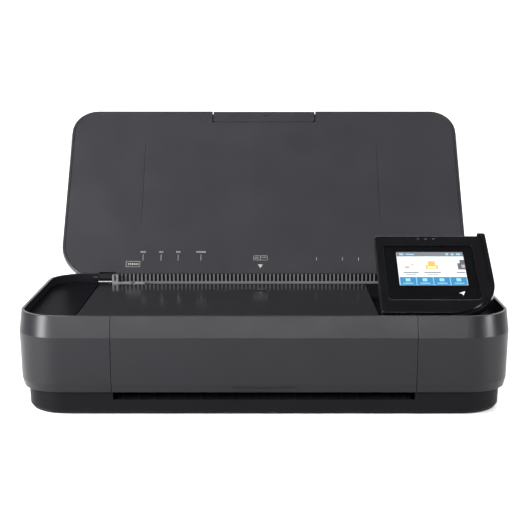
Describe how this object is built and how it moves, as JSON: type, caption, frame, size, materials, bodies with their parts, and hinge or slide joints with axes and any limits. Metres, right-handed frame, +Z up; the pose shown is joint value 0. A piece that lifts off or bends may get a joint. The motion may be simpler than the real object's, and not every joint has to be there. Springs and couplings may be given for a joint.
{
  "type": "portable inkjet printer",
  "caption": "Flat portable inkjet printer and scanner, lid open as a paper rest, with tilting touch display, sliding paper guides, carriage and rear battery",
  "frame": {"origin": "on the desk, under the middle of the body; the rubber feet stand at z = 0 and the flat underside is 1.2 mm above it", "axes": "+X to the printer's right seen from the front, +Y to the rear, +Z up"},
  "size_m": [0.3802, 0.3203, 0.2179],
  "materials": {
    "casing": "fine metallic-looking texture",
    "base_black": "fine texture",
    "deck_gloss": "glossy",
    "inner_black": "satin",
    "lid_grey": "fine texture",
    "guide_grey": "satin",
    "panel_black": "satin",
    "screen_glass": "polished",
    "display": "polished",
    "lens": "polished",
    "steel": "satin",
    "rubber": "matte",
    "mech_plastic": "satin",
    "gear_plastic": "satin",
    "ink_label": "satin",
    "board_green": "solder resist",
    "button_plastic": "satin"
  },
  "bodies": {
    "body": {"base_tray": "base_black", "upper_shell": "casing", "rubber_feet": "rubber", "case_screws": "steel", "left_deck": "deck_gloss", "right_deck": "deck_gloss", "hinge_pins": "steel", "deck_frame": "inner_black", "scan_motor": "steel", "paper_chute": "inner_black", "input_comb": "inner_black", "chassis": "mech_plastic", "platen": "mech_plastic", "roller_bars": "inner_black", "output_chute": "inner_black", "feed_motor": "steel", "carriage_beam": "steel", "carriage_rail": "steel", "carriage_motor": "steel", "carriage_belt": "rubber", "service_station": "mech_plastic", "service_caps": "rubber", "main_board": "board_green", "ports": "steel"},
    "lid": {"lid_cover": "casing", "lid_inner_panel": "lid_grey", "lid_hinge_arms": "lid_grey"},
    "extension": {"tray_extension": "lid_grey"},
    "display_panel": {"panel_housing": "panel_black", "panel_glass": "screen_glass", "lcd_module": "display", "panel_lights": "lens"},
    "scanner_cover": {"scanner_lid": "deck_gloss", "scan_bar": "mech_plastic"},
    "scan_drive": {"scan_roller": "rubber"},
    "door": {"front_door": "casing"},
    "left_guide": {"guide_left": "guide_grey"},
    "right_guide": {"guide_right": "guide_grey"},
    "guide_gear": {"guide_pinion": "gear_plastic"},
    "feed_roller": {"feed_shaft": "steel", "feed_sleeve": "rubber", "feed_gear": "gear_plastic"},
    "pinch": {"pinch_rollers": "rubber"},
    "output_roller": {"output_shaft": "steel", "output_tyres": "rubber", "output_gear": "gear_plastic"},
    "stars": {"star_wheels": "gear_plastic"},
    "idler": {"idler_gear": "gear_plastic"},
    "pickup_idler_gear": {"pickup_idler": "gear_plastic"},
    "pickup_roller": {"pickup_shaft": "gear_plastic", "pickup_tyres": "rubber"},
    "feed_pinion": {"motor_pinion": "gear_plastic"},
    "ink_carriage": {"carriage": "mech_plastic", "cartridge_black": "ink_label", "cartridge_colour": "ink_label"},
    "belt_pulley_left": {"motor_pulley": "gear_plastic"},
    "belt_pulley_right": {"idler_pulley": "gear_plastic"},
    "battery": {"battery_pack": "base_black"},
    "latch": {"battery_latch": "guide_grey"},
    "button": {"power_button": "button_plastic"}
  },
  "joints": [
    {"name": "lid_hinge", "type": "hinge", "parent": "body", "child": "lid", "pos_m": [0, 0.0962, 0.074], "axis": [-1, 0, 0], "range_deg": [-128, 0]},
    {"name": "extension_slide", "type": "slide", "parent": "lid", "child": "extension", "axis": [0, 0.6157, 0.788], "range_m": [0, 0.055]},
    {"name": "panel_tilt", "type": "hinge", "parent": "body", "child": "display_panel", "pos_m": [0.132, -0.0747, 0.0713], "axis": [1, 0, 0], "range_deg": [-32, 0]},
    {"name": "scanner_lid_hinge", "type": "hinge", "parent": "body", "child": "scanner_cover", "pos_m": [-0.028, 0.0776, 0.0659], "axis": [-1, 0, 0], "range_deg": [0, 45]},
    {"name": "scan_roller_spin", "type": "hinge", "parent": "body", "child": "scan_drive", "pos_m": [-0.02, -0.072, 0.0585], "axis": [1, 0, 0], "continuous": true},
    {"name": "front_door_hinge", "type": "hinge", "parent": "body", "child": "door", "pos_m": [0, -0.0906, 0.0736], "axis": [-1, 0, 0], "range_deg": [0, 60]},
    {"name": "left_guide_slide", "type": "slide", "parent": "body", "child": "left_guide", "axis": [1, 0, 0], "range_m": [0, 0.08]},
    {"name": "right_guide_slide", "type": "slide", "parent": "body", "child": "right_guide", "axis": [-1, 0, 0], "range_m": [0, 0.08]},
    {"name": "guide_pinion_spin", "type": "hinge", "parent": "body", "child": "guide_gear", "pos_m": [0, 0.0931, 0.0612], "axis": [0, 1, 0], "range_deg": [0, 1150]},
    {"name": "feed_roller_spin", "type": "hinge", "parent": "body", "child": "feed_roller", "pos_m": [-0.1235, 0.024, 0.02], "axis": [1, 0, 0], "continuous": true},
    {"name": "pinch_spin", "type": "hinge", "parent": "body", "child": "pinch", "pos_m": [0, 0.026, 0.0299], "axis": [1, 0, 0], "continuous": true},
    {"name": "output_roller_spin", "type": "hinge", "parent": "body", "child": "output_roller", "pos_m": [-0.1235, -0.03, 0.0187], "axis": [1, 0, 0], "continuous": true},
    {"name": "star_wheel_spin", "type": "hinge", "parent": "body", "child": "stars", "pos_m": [0, -0.03, 0.0294], "axis": [1, 0, 0], "continuous": true},
    {"name": "idler_spin", "type": "hinge", "parent": "body", "child": "idler", "pos_m": [-0.1235, -0.0031, 0.02333], "axis": [1, 0, 0], "continuous": true},
    {"name": "pickup_idler_spin", "type": "hinge", "parent": "body", "child": "pickup_idler_gear", "pos_m": [-0.1235, 0.04594, 0.03044], "axis": [1, 0, 0], "continuous": true},
    {"name": "pickup_roller_spin", "type": "hinge", "parent": "body", "child": "pickup_roller", "pos_m": [-0.1235, 0.0647, 0.0425], "axis": [1, 0, 0], "continuous": true},
    {"name": "motor_pinion_spin", "type": "hinge", "parent": "body", "child": "feed_pinion", "pos_m": [-0.1235, 0.0156, 0.0374], "axis": [1, 0, 0], "continuous": true},
    {"name": "carriage_slide", "type": "slide", "parent": "body", "child": "ink_carriage", "axis": [-1, 0, 0], "range_m": [0, 0.236]},
    {"name": "left_pulley_spin", "type": "hinge", "parent": "body", "child": "belt_pulley_left", "pos_m": [-0.15, 0.0444, 0.05], "axis": [0, 1, 0], "range_deg": [-2360, 0]},
    {"name": "right_pulley_spin", "type": "hinge", "parent": "body", "child": "belt_pulley_right", "pos_m": [0.164, 0.0444, 0.05], "axis": [0, 1, 0], "range_deg": [-2360, 0]},
    {"name": "battery_slide", "type": "slide", "parent": "body", "child": "battery", "axis": [0, 1, 0], "range_m": [0, 0.06]},
    {"name": "battery_latch_slide", "type": "slide", "parent": "battery", "child": "latch", "axis": [1, 0, 0], "range_m": [0, 0.005], "stiffness_N_per_m": 200},
    {"name": "power_button_press", "type": "slide", "parent": "body", "child": "button", "axis": [0, -1, 0], "range_m": [0, 0.0015], "stiffness_N_per_m": 300}
  ],
  "couplings": [
    {"joint": "panel_tilt", "follows": "lid_hinge", "ratio": 0.25},
    {"joint": "right_guide_slide", "follows": "left_guide_slide", "ratio": 1},
    {"joint": "guide_pinion_spin", "follows": "left_guide_slide", "rad_per_m": 250},
    {"joint": "pinch_spin", "follows": "feed_roller_spin", "ratio": -1.7647},
    {"joint": "output_roller_spin", "follows": "feed_roller_spin", "ratio": 1},
    {"joint": "star_wheel_spin", "follows": "feed_roller_spin", "ratio": -1.25},
    {"joint": "idler_spin", "follows": "feed_roller_spin", "ratio": -0.92857},
    {"joint": "pickup_idler_spin", "follows": "feed_roller_spin", "ratio": -1.1818},
    {"joint": "pickup_roller_spin", "follows": "feed_roller_spin", "ratio": 1.1818},
    {"joint": "motor_pinion_spin", "follows": "feed_roller_spin", "ratio": -2.1667},
    {"joint": "left_pulley_spin", "follows": "carriage_slide", "rad_per_m": -173.91},
    {"joint": "right_pulley_spin", "follows": "carriage_slide", "rad_per_m": -173.91}
  ]
}
